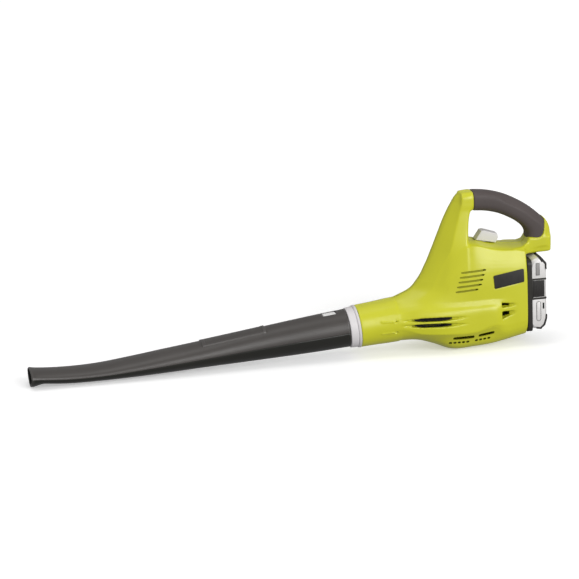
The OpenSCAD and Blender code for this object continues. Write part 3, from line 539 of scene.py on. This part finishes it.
def meshed(name, field, xs, ys, zs, material, body, flip_y=False):
    """The zero surface of a field as a smooth piece, mirrored in the mid plane for a left half."""
    band = 4.0
    grid = openvdb.FloatGrid(band)
    grid.copyFromArray(np.ascontiguousarray(np.clip(field, -band, band), dtype=np.float32))
    pts, quads = grid.convertToQuads(0.0)
    pts = np.array(pts, np.float64) * VOXEL + np.array([xs[0], ys[0], zs[0]])
    quads = np.array(quads)
    if flip_y:
        pts[:, 1] *= -1
        quads = quads[:, ::-1]
    pts[:, 0] += SHIFT_X
    me = bpy.data.meshes.new(name)
    me.from_pydata((pts * MM).tolist(), [], quads.tolist())
    me.validate()
    bm = bmesh.new()
    bm.from_mesh(me)
    if bm.calc_volume(signed=True) < 0:
        bmesh.ops.reverse_faces(bm, faces=bm.faces)
    bmesh.ops.smooth_vert(bm, verts=bm.verts, factor=0.5, use_axis_x=True, use_axis_y=True, use_axis_z=True)
    bm.to_mesh(me)
    bm.free()
    me.shade_smooth()
    me.set_sharp_from_angle(angle=math.radians(48))
    return finish_piece(name, me, material, body)


def finish_piece(name, me, material, body):
    ob = bpy.data.objects.new(name, me)
    bpy.context.scene.collection.objects.link(ob)
    me.materials.append(LOOK[material])
    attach(ob, body)
    return ob


def badge_cut(x, y, z, grow):
    """Recess for a badge plate, with a gap of grow round it."""
    poly = polygon_2d(x + 0 * z, z + 0 * x, BADGE) - grow
    return np.maximum(poly, BADGE_Y - np.abs(y))


def floor_frame(x, z):
    """Coordinates on the sloping floor of the hand opening."""
    c, s = math.cos(math.radians(FLOOR_LEAN)), math.sin(math.radians(FLOOR_LEAN))
    dx, dz = x - 300.0, z - FLOOR_Z
    return dx * c - dz * s, dx * s + dz * c


def make_shells():
    xs, ys, zs, x, y, z, f, tail, handle, zone = body_fields()
    ay = np.abs(y)
    outer = smin(smin(f, tail, 6.0), np.maximum(handle, -(zone - 0.35)), 5.0)
    outer = np.minimum(outer, handle + GRIP_T + 0.1)
    # the belly stands flat on the floor, and the skin keeps inside the size of the housing
    outer = smax(outer, BELLY_Z - z, 1.2)
    outer = smax(outer, np.maximum(np.maximum(ay - SKIN_Y, z - SKIN_TOP), x - SKIN_REAR), 2.5)
    # intake scoops: ramps that sink forward under the rear ends of the side pods
    along_x, up_z = x + 0 * z, z + 0 * x
    mouths = []
    for z0, z1, z2, z3 in ((65.2, 73.2, 66.8, 70.0), (47.4, 59.8, 56.4, 58.8)):
        wedge = polygon_2d(along_x, up_z, [(315.6, z0), (315.6, z1), (339, z3), (339, z2)])
        mouths.append(np.maximum(wedge + 0.9, x - 328))
        ramp = 13.0 * np.clip((338.5 - x) / 23, 0, 1) ** 1.3
        outer = smax(outer, -np.maximum(wedge, -outer - ramp), 0.7)
    # long tapered grooves where the neck meets the pods
    for za, zb, zc in ((56.2, 56.8, 57.6), (48.6, 47.6, 47.0)):
        line = polygon_2d(along_x, up_z, [
            (160, za - 0.2), (194, zb - 3.1), (224, zb - 3.1), (262, zc - 0.2),
            (262, zc + 0.2), (224, zb + 3.1), (194, zb + 3.1), (160, za + 0.2)])
        sink = 10.0 * np.clip(np.minimum((x - 160) / 36, (262 - x) / 44), 0, 1) ** 1.2
        outer = smax(outer, -np.maximum(line, -outer - sink), 1.0)
    shell = np.maximum(outer, -(outer + WALL))
    # the scoops open forward into the body
    for mouth in mouths:
        shell = np.maximum(shell, -np.maximum(mouth, 28 - ay))
    # two small raised marks on the neck, each with a dimple at its rear end
    for za, zb in ((57.5, 56.4), (38.6, 39.4)):
        d, _ = segment_2d(along_x, up_z, (131, za), (152, zb))
        shell = smin(shell, np.maximum(np.hypot(d, np.maximum(outer - 0.2, 0)) - 0.9, 10 - ay), 0.8)
        d2, _ = segment_2d(along_x, up_z, (152.4, zb), (154.4, zb))
        shell = np.maximum(shell, -np.maximum(d2 - 1.1, -outer - 2.0))
    shell = np.maximum(shell, -badge_cut(x, y, z, 0.35))
    # window for the battery stem and slot for the slide switch
    stem = np.maximum(np.maximum(ay - 21.4, np.maximum(73.9 - z, z - 118.1)), (REAR_X - 8) - x)
    shell = np.maximum(shell, -stem)
    u, w = floor_frame(x, z)
    slot = np.maximum(np.maximum(ay - 4.6, np.abs(w + 2) - 6), np.maximum(-15.6 - u, u - 10.8))
    shell = np.maximum(shell, -slot)
    # the slide knob runs clear of the floor
    track = np.maximum(np.maximum(ay - 9.6, np.abs(w - 10) - 9.9), np.maximum(-24.5 - u, u - 21))
    shell = smax(shell, -track, 0.5)
    # the neck's nose is bored for the collar
    along, r = neck_shape(x, y, z)
    shell = np.maximum(shell, -np.maximum(r - 29.6, along - 40))
    left = smax(shell, -(y - SEAM), 0.6)
    right = left
    for px, pz, seat in SCREWS:
        d = np.hypot(x - px, z - pz)
        right = np.maximum(right, -np.maximum(d - 4.0, seat - ay))
        boss = np.maximum(np.maximum(d - 5.6, -(d - 2.0)), np.maximum(outer + 1, -(y - SEAM)))
        right = np.minimum(right, np.maximum(boss, ay - seat))
    hl = meshed("body_left", left, xs, ys, zs, "green", "housing", flip_y=True)
    hr = meshed("body_right", right, xs, ys, zs, "green", "housing")
    # each half takes the black and the darker green painted shade for its grooves and slots
    for half in (hl, hr):
        half.data.materials.append(LOOK["black_shade"])
        half.data.materials.append(LOOK["groove"])
    cut_away(hl, slot_cutters(hl, -1))
    cut_away(hr, slot_cutters(hr, 1))
    for half in (hl, hr):
        paint_groove_shade(half.data)
    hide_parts("housing_left")
    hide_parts("housing_right")
    # rubber overmould, one skin per half, with a rolled edge
    skin = smax(smax(handle, zone + 0.25, 1.6), -(handle + GRIP_T), 0.3)
    box = crop((276, -3, 150), (400, 24, 250), xs, ys, zs)
    skin = smax(skin, -(y - SEAM), 0.6)[box]
    gx, gy, gz = xs[box[0]], ys[box[1]], zs[box[2]]
    gl = meshed("rubber_left", skin, gx, gy, gz, "rubber", "housing", flip_y=True)
    gr = meshed("rubber_right", skin, gx, gy, gz, "rubber", "housing")
    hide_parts("grip_left")
    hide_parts("grip_right")


def skin_at(x, z):
    """Half width of the lower body at a height on its side."""
    ring = body_rings(np.array([x]))[0]
    order = ring[np.argmax(ring[:, 1]) - 12:] if z > 60 else ring[: np.argmax(ring[:, 1]) + 1]
    return float(np.interp(z, order[:, 0], order[:, 1]))


def paint_groove_shade(me):
    """Painted shade in the two long grooves of a half: darker green past one depth, and black at their bottom
    standing in for the shade inside.
    """
    centres = np.empty(len(me.polygons) * 3)
    me.polygons.foreach_get("center", centres)
    x, y, z = (centres.reshape(-1, 3) / MM).T
    x, y = x - SHIFT_X, np.abs(y)
    near = np.nonzero((x > 176) & (x < 238) & (z > 42) & (z < 63) & (y > 24))[0]
    cols, rows = np.arange(174, 242, 2), np.arange(41, 65)
    skin = np.array([[skin_at(c, r) for r in rows] for c in cols])
    u, v = (x[near] - cols[0]) / 2, z[near] - rows[0]
    i, j = u.astype(int), v.astype(int)
    u, v = u - i, v - j
    depth = ((skin[i, j] * (1 - u) + skin[i + 1, j] * u) * (1 - v)
             + (skin[i, j + 1] * (1 - u) + skin[i + 1, j + 1] * u) * v) - y[near]
    index = np.zeros(len(me.polygons), np.int32)
    me.polygons.foreach_get("material_index", index)
    # deeper faces take the darker green and the deepest faces black: painted shade by depth
    index[near[(depth > GROOVE_SHADE) & (depth < GROOVE_END)]] = GREEN_SHADE_SLOT
    index[near[(depth > GROOVE_BLACK) & (depth < GROOVE_END)]] = BLACK_SHADE_SLOT
    me.polygons.foreach_set("material_index", index)


def slot_cutters(shell, side):
    """All the louvre and belly slots of one half as one cutting body."""
    bm = bmesh.new()
    bpy.context.view_layer.update()

    def tunnel(a, b, half, depth, steps=14, teeth=0.0, slant=0.0):
        """A slot between two points of the side view; its depth may vary, and its floor may slant."""
        tip = 0.6  # height of the slot's very ends
        rings = []
        for i in range(steps + 1):
            t = i / steps
            x, z = a[0] + (b[0] - a[0]) * t, a[1] + (b[1] - a[1]) * t
            h = half * (tip if i in (0, steps) else 0.85 if i in (1, steps - 1) else 1.0)
            up = h + (teeth if i % 2 else 0.0)
            place = shell.ray_cast(((x + SHIFT_X) * MM, side * 80 * MM, z * MM), (0, -side, 0))[1]
            y = abs(place.y) / MM
            low = y - depth(t)
            corners = ((low + slant, z - h * 0.8), (y + 4, z - h), (y + 4, z + up), (low, z + up * 0.8))
            rings.append([bm.verts.new(((x + SHIFT_X) * MM, side * yy * MM, zz * MM)) for yy, zz in corners])
        for p, q in zip(rings, rings[1:]):
            for k in range(4):
                bm.faces.new((p[k], p[(k + 1) % 4], q[(k + 1) % 4], q[k]))
        bm.faces.new(rings[0][::-1])
        bm.faces.new(rings[-1])

    for a, b in VENTS:
        tunnel(a, b, 1.75, lambda t: 4.0 if t > 0.9 else 2.3, slant=1.3)
    for x0, x1, z0, z1, n, teeth in BELLY:
        for i in range(n):
            w = (x1 - x0) / n
            rib = 0.9 if n > 1 else 0
            xa, xb = x0 + w * i + rib, x0 + w * (i + 1) - rib
            za, zb = (z0 + (z1 - z0) * (v - x0) / (x1 - x0) for v in (xa, xb))
            lean = 0.8 if n > 1 else 0
            tunnel((xa + lean, za), (xb + lean, zb), 2.6 if n == 1 else 2.1, lambda t: 7.0,
                   steps=16 if n == 1 else 4, teeth=teeth)
    bmesh.ops.recalc_face_normals(bm, faces=bm.faces)
    # the slots' cut faces take the darker green: painted shade on their walls and floors
    for face in bm.faces:
        face.material_index = GREEN_SHADE_SLOT
    me = bpy.data.meshes.new("slots")
    bm.to_mesh(me)
    bm.free()
    for look in ("green", "black_shade", "groove"):
        me.materials.append(LOOK[look])
    ob = bpy.data.objects.new("slots", me)
    bpy.context.scene.collection.objects.link(ob)
    return ob


# ------------------------------------------------------------------ tube
# stations: x, height of the middle, half width, half height
TUBE = [[-400, 17, 25, 11], [-385, 15.6, 24.6, 10.8], [-350, 13, 25, 11.4], [-300, 12.9, 26.5, 12.2],
        [-250, 15.8, 27.5, 14.6], [-200, 19.8, 28, 17.2], [-140, 24.9, 27.5, 19.8], [-80, 30.1, 26.4, 23],
        [-20, 35.4, 26.6, 26], [30, 39.8, 28, 28], [84, 44.5, 29.2, 29.2]]


def on_axis(s, y, h):
    """Millimetres along the fan axis, across it and above it, to row-frame metres."""
    c, n = math.cos(math.radians(PITCH)), math.sin(math.radians(PITCH))
    return Vector(((FAN_AT[0] + s * c - h * n + SHIFT_X) * MM, y * MM, (FAN_AT[2] + s * n + h * c) * MM))


def tube_angles():
    """Even turns round the tube with extra points at the mould parting on both sides."""
    even = [2 * math.pi * i / 104 for i in range(104)]
    joint = [-0.075, -0.052, -0.030, -0.012, 0.012, 0.034]
    marks = joint + [math.pi - v for v in joint]
    clear = [v for v in even if min(abs((v - m + math.pi) % (2 * math.pi) - math.pi) for m in marks) > 0.03]
    return sorted(v % (2 * math.pi) for v in clear + marks)


def tube_relief(x, a):
    """Outward steps of the tube's skin: parting groove, smaller lower half, plain raised plate on top."""
    side = math.asin(max(-1, min(1, math.sin(a))))
    grow = 0.0
    if -0.058 < side < -0.008:
        grow -= 0.75
    elif side <= -0.058:
        grow -= 0.35
    crest = abs((a - math.pi / 2 + math.pi) % (2 * math.pi) - math.pi)
    edge = min(x + 141.5, -42.5 - x, (0.66 - crest) * 26)
    grow += 1.5 * min(1, max(0, edge / 1.2)) if edge > 0 else 0
    rim = min(x + 136.5, -47.5 - x, (0.52 - crest) * 26)
    grow -= 0.6 * min(1, max(0, rim / 0.8)) if rim > 0 else 0
    return grow


def make_tube():
    angles = tube_angles()
    turns = len(angles)
    fine = [-142, -141.2, -140.4, -137, -136.2, -135.6, -48.2, -47.4, -46.8, -43.6, -42.8, -42]
    even = [v for v in np.linspace(-394, 78, 134) if min(abs(v - f) for f in fine) > 0.9]
    stations = np.array([-400.2, -399.6, -398.4, -396.5] + sorted(even + fine) + [80, 82, 83.4, 84.4, 85])
    prof = spline([t[0] for t in TUBE], [t[1:] for t in TUBE], np.clip(stations, -400, 84))
    bm = bmesh.new()
    rings = []

    def ring(x, zc, b, c, inner):
        out = []
        for a in angles:
            ca, sa = math.cos(a), math.sin(a)
            grow = 0.0 if inner else tube_relief(x, a)
            xx, yy, zz = x, (b + grow) * ca, zc + (c + grow) * sa
            if x < FOOT_X and sa < 0:
                # scraper foot: the lower lip hangs down towards the mouth
                reach = min(1.0, (FOOT_X - x) / 18.0)
                fall = reach * reach * (3 - 2 * reach)
                zz += (0.3 - (zc - c) if not inner else -(zc - c) * 0.55) * fall * (-sa) ** 1.5
            if x > SQUARE_X:
                lean = (x - SQUARE_X) / 13
                xx = x - lean * (zz - FAN_AT[2]) * math.tan(math.radians(PITCH)) - lean * 1.4
            out.append(bm.verts.new(((xx + SHIFT_X) * MM, yy * MM, max(zz, 0.25 if not inner else 1.4) * MM)))
        return out

    for j, x in enumerate(stations):
        zc, b, c = prof[j]
        lip = 1.1 * math.exp(-((x + 397.6) / 1.7) ** 2) if x < -380 else 0.0
        edge = 0.7 if j == 0 else 0.25 if j == 1 else 0.0
        edge += 0.8 if j == len(stations) - 1 else 0.25 if j == len(stations) - 2 else 0.0
        rings.append(ring(x, zc, b + lip - edge, c + lip * 0.6 - edge, False))
    for j in range(len(stations) - 1, -1, -1):
        x = stations[j]
        zc, b, c = prof[j]
        wall = TUBE_WALL if x < 40 else TUBE_WALL + (x - 40) / 45
        wall -= 0.6 if j == 0 else 0.2 if j == 1 else 0
        rings.append(ring(x, zc, b - wall, c - wall, True))
    count = len(rings)
    under = []
    for j in range(count):
        p, q = rings[j], rings[(j + 1) % count]
        for i in range(turns):
            k = (i + 1) % turns
            face = bm.faces.new((p[i], q[i], q[k], p[k]))
            if math.sin((angles[i] + (angles[k] if k else 2 * math.pi)) / 2) < -0.03:
                under.append(face)
    # the faces below the parting take the darker copy of the tube plastic: painted shade on the underside
    for face in under:
        face.material_index = 1
    bmesh.ops.recalc_face_normals(bm, faces=bm.faces)
    me = bpy.data.meshes.new("outlet_tube")
    bm.to_mesh(me)
    bm.free()
    me.shade_smooth()
    me.set_sharp_from_angle(angle=math.radians(32))
    tube = finish_piece("outlet_tube", me, "tube", "tube")
    me.materials.append(LOOK["tube_painted_shade"])
    # window for the lock tab
    cut = solid_box("tab_window_cut", on_axis(TAB_S + 9.5, 0, 28), (22.6, 2 * TAB_W + 2, 20), PITCH, 2.2)
    cut_away(tube, cut)
    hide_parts("blow_tube")


def solid_box(name, centre, size, lean, bevel):
    """A rounded box that serves as a cutter: size in mm, lean in degrees about Y."""
    bm = bmesh.new()
    bmesh.ops.create_cube(bm, size=1)
    for v in bm.verts:
        v.co = Vector((v.co.x * size[0], v.co.y * size[1], v.co.z * size[2])) * MM
    if bevel:
        bmesh.ops.bevel(bm, geom=bm.edges[:], offset=bevel * MM, segments=4, affect="EDGES", profile=0.5)
    c, s = math.cos(math.radians(lean)), math.sin(math.radians(lean))
    for v in bm.verts:
        v.co = Vector((v.co.x * c - v.co.z * s, v.co.y, v.co.x * s + v.co.z * c)) + centre
    me = bpy.data.meshes.new(name)
    bm.to_mesh(me)
    bm.free()
    ob = bpy.data.objects.new(name, me)
    bpy.context.scene.collection.objects.link(ob)
    return ob


def cut_away(target, cutter):
    """Cuts one object out of another in place and removes the cutter."""
    mod = target.modifiers.new("cut", "BOOLEAN")
    mod.operation, mod.solver, mod.object = "DIFFERENCE", "EXACT", cutter
    graph = bpy.context.evaluated_depsgraph_get()
    new = bpy.data.meshes.new_from_object(target.evaluated_get(graph))
    target.modifiers.clear()
    old = target.data
    target.data = new
    bpy.data.meshes.remove(old)
    bpy.data.objects.remove(cutter)


def rounded(node, name, material, body, width=0.5, angle=30):
    """A piece made from a CAD node's exact shape: flat facets merged, edges rounded."""
    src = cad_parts[node]
    bm = bmesh.new()
    bm.from_mesh(src.data)
    bmesh.ops.remove_doubles(bm, verts=bm.verts, dist=2e-6)
    bmesh.ops.dissolve_limit(bm, angle_limit=math.radians(2.0), verts=bm.verts, edges=bm.edges,
                             use_dissolve_boundaries=False)
    edges = [e for e in bm.edges if len(e.link_faces) == 2 and e.calc_face_angle(0) > math.radians(angle)]
    bmesh.ops.bevel(bm, geom=edges, offset=width * MM, segments=3, affect="EDGES", profile=0.5,
                    clamp_overlap=True)
    me = bpy.data.meshes.new(name)
    bm.to_mesh(me)
    bm.free()
    me.shade_smooth()
    me.set_sharp_from_angle(angle=math.radians(35))
    ob = finish_piece(name, me, material, body)
    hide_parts(node)


def lathe(name, profile, material, body, nodes, turns=128):
    """A turned piece on the fan axis: profile of (s, r) in mm, closed."""
    bm = bmesh.new()
    rings = []
    angles = [2 * math.pi * i / turns for i in range(turns)]
    for s, r in profile:
        rings.append([bm.verts.new(on_axis(s, r * math.cos(a), r * math.sin(a))) for a in angles])
    for j in range(len(rings)):
        p, q = rings[j], rings[(j + 1) % len(rings)]
        for i in range(turns):
            k = (i + 1) % turns
            bm.faces.new((p[i], q[i], q[k], p[k]))
    bmesh.ops.recalc_face_normals(bm, faces=bm.faces)
    me = bpy.data.meshes.new(name)
    bm.to_mesh(me)
    bm.free()
    me.shade_smooth()
    me.set_sharp_from_angle(angle=math.radians(35))
    ob = finish_piece(name, me, material, body)
    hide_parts(*nodes)
    return ob


def fillet(profile, radius=0.5, steps=4):
    """Rounds every corner of a closed (s, r) profile."""
    out = []
    n = len(profile)
    for i in range(n):
        p, a, b = (np.array(profile[k % n], float) for k in (i, i - 1, i + 1))
        u, v = a - p, b - p
        ru, rv = min(radius, np.linalg.norm(u) * 0.45), min(radius, np.linalg.norm(v) * 0.45)
        q0, q1 = p + u / np.linalg.norm(u) * ru, p + v / np.linalg.norm(v) * rv
        for t in np.linspace(0, 1, steps):
            out.append((1 - t) ** 2 * q0 + 2 * t * (1 - t) * p + t * t * q1)
    return [tuple(v) for v in out]


def make_collar():
    profile = [(-37, 23.4), (-37, 25.6), (0.4, 25.6), (0.4, 30.0), (1.6, 30.6), (10.6, 31.2), (11.2, 30.7),
               (11.8, 30.7), (12.4, 32.3), (15.4, 32.9), (15.9, 32.4), (15.9, 29.4), (27.8, 29.4),
               (27.8, 26.8), (14, 23.6)]
    profile = fillet(profile, 0.45)
    collar = lathe("outlet_ring", profile, "collar", "housing", ["outlet_collar"])
    cut = solid_box("tab_pocket_cut", on_axis(TAB_S + 9.7, 0, 24), (20.2, 2 * TAB_W + 0.8, 12), PITCH, 0)
    cut_away(collar, cut)


def make_small_parts():
    rounded("tube_lock_tab", "lock_tab", "tab", "lock_tab", 0.6)
    rounded("switch_slider", "slide_knob", "switch", "switch", 0.7)
    for side in ("left", "right"):
        rounded("badge_" + side, "badge_plate_" + side, "badge", "housing", 0.3)
        rounded("battery_latch_" + side, "latch_button_" + side, "latch", "latch_" + side, 0.25)
    rounded("battery_shell", "pack_front", "dark", "battery", 0.5)
    rounded("battery_cover", "pack_cover", "silver", "battery", 0.6, angle=25)
    rounded("battery_bumpers", "pack_bumpers", "bumper", "battery", 0.5)


def slab(name, outline, y0, y1, material, body, round_edge):
    """A plate cut from a side-view outline, between two distances from the mid plane."""
    bm = bmesh.new()
    ring = [[bm.verts.new(((x + SHIFT_X) * MM, y * MM, z * MM)) for x, z in outline] for y in (y0, y1)]
    n = len(outline)
    bm.faces.new(ring[0])
    bm.faces.new(ring[1][::-1])
    for i in range(n):
        k = (i + 1) % n
        bm.faces.new((ring[0][i], ring[1][i], ring[1][k], ring[0][k]))
    bmesh.ops.recalc_face_normals(bm, faces=bm.faces)
    bmesh.ops.bevel(bm, geom=bm.edges[:], offset=round_edge * MM, segments=3, affect="EDGES", profile=0.5,
                    clamp_overlap=True)
    me = bpy.data.meshes.new(name)
    bm.to_mesh(me)
    bm.free()
    me.shade_smooth()
    me.set_sharp_from_angle(angle=math.radians(35))
    return finish_piece(name, me, material, body)


def capsule(x0, x1, z0, z1, n=8, inset=0.0):
    """Rounded upright outline between two corners."""
    reach = (x1 - x0) / 2
    r = reach - inset
    xc = (x0 + x1) / 2
    turn = [math.pi * i / n for i in range(n + 1)]
    top = [(xc + r * math.cos(a), z1 - reach + r * math.sin(a)) for a in turn]
    low = [(xc - r * math.cos(a), z0 + reach - r * math.sin(a)) for a in turn]
    return top + low


def make_battery_trim():
    """Corner guards, latch surrounds and blank label plates on the sides of the pack."""
    upper = [(377.2, 137.6), (379.2, 138.9), (388.0, 128.2), (388.2, 117.5), (385.6, 119.5), (385.0, 126.0),
             (377.8, 134.6)]
    lower = [(388.2, 47.5), (388.0, 41.4), (384.9, 30.6), (378.0, 24.7), (370.5, 25.9), (372.4, 28.6),
             (377.4, 28.4), (382.2, 33.2), (384.6, 42.0), (385.6, 45.6)]
    for name, outline in (("guard_top", upper), ("guard_low", lower)):
        slab(name, outline, -COVER_Y - 0.5, COVER_Y + 0.5, "bumper", "battery", 0.7)
    for side in (-1, 1):
        tag = "left" if side < 0 else "right"
        near, far = side * (COVER_Y - 1.0), side * (COVER_Y + 0.45)
        for k, outline in enumerate(((
                (365.4, 71.8), (386.4, 71.8), (387.4, 73.4), (387.4, 75.4), (365.4, 75.4)),
                ((365.4, 102.2), (387.4, 102.2), (387.4, 103.8), (386.4, 105.4), (365.4, 105.4)),
                ((363.8, 71.8), (366.4, 71.8), (366.4, 105.4), (363.8, 105.4)))):
            slab(f"latch_frame_{tag}_{k}", outline, near, far, "dark", "battery", 0.5)
        slab(f"label_{tag}", [(370.2, 109.2), (377.4, 109.2), (377.4, 129.4), (370.2, 129.4)], near,
             side * (COVER_Y + 0.3), "badge", "battery", 0.5)
        slab(f"label_face_{tag}", [(371.3, 110.4), (376.3, 110.4), (376.3, 128.2), (371.3, 128.2)], near,
             side * (COVER_Y + 0.5), "label", "battery", 0.3)
        slab(f"plate_{tag}", capsule(370.6, 378.6, 37.5, 69.5), near,
             side * (COVER_Y + 0.3), "badge", "battery", 0.3)
        slab(f"plate_face_{tag}", capsule(370.6, 378.6, 37.5, 69.5, inset=1.0), near,
             side * (COVER_Y + 0.55), "silver", "battery", 0.3)
        slab(f"tick_{tag}", [(380.6, 56.5), (383.8, 56.5), (383.8, 66.5), (380.6, 66.5)], near,
             side * (COVER_Y + 0.3), "badge", "battery", 0.3)


def dress_cad_nodes():
    """Exact inner parts stay CAD nodes and take a procedural material each."""
    looks = {"air_duct": "inner", "stator_vanes": "inner", "motor_can": "steel", "motor_magnets": "magnet",
             "motor_end_cap": "inner", "brush_holders": "contact", "bearing_front": "steel",
             "bearing_rear": "steel",
             "rotor_shaft": "steel", "armature_core": "core", "armature_windings": "copper",
             "commutator": "copper",
             "impeller": "fan", "impeller_nut": "steel", "motor_screws": "steel", "switch_block": "inner",
             "battery_socket": "inner", "socket_terminals": "contact", "wire_red": "red_wire",
             "wire_black": "black_wire", "housing_screws": "steel", "battery_cells": "cell",
             "cell_holder": "inner",
             "battery_board": "board", "battery_terminals": "contact", "battery_screws": "steel"}
    for node, look in looks.items():
        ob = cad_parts[node]
        for slot in ob.material_slots:
            slot.material = LOOK[look]


make_camera()
make_stage()
make_shells()
make_tube()
make_collar()
make_small_parts()
make_battery_trim()
dress_cad_nodes()
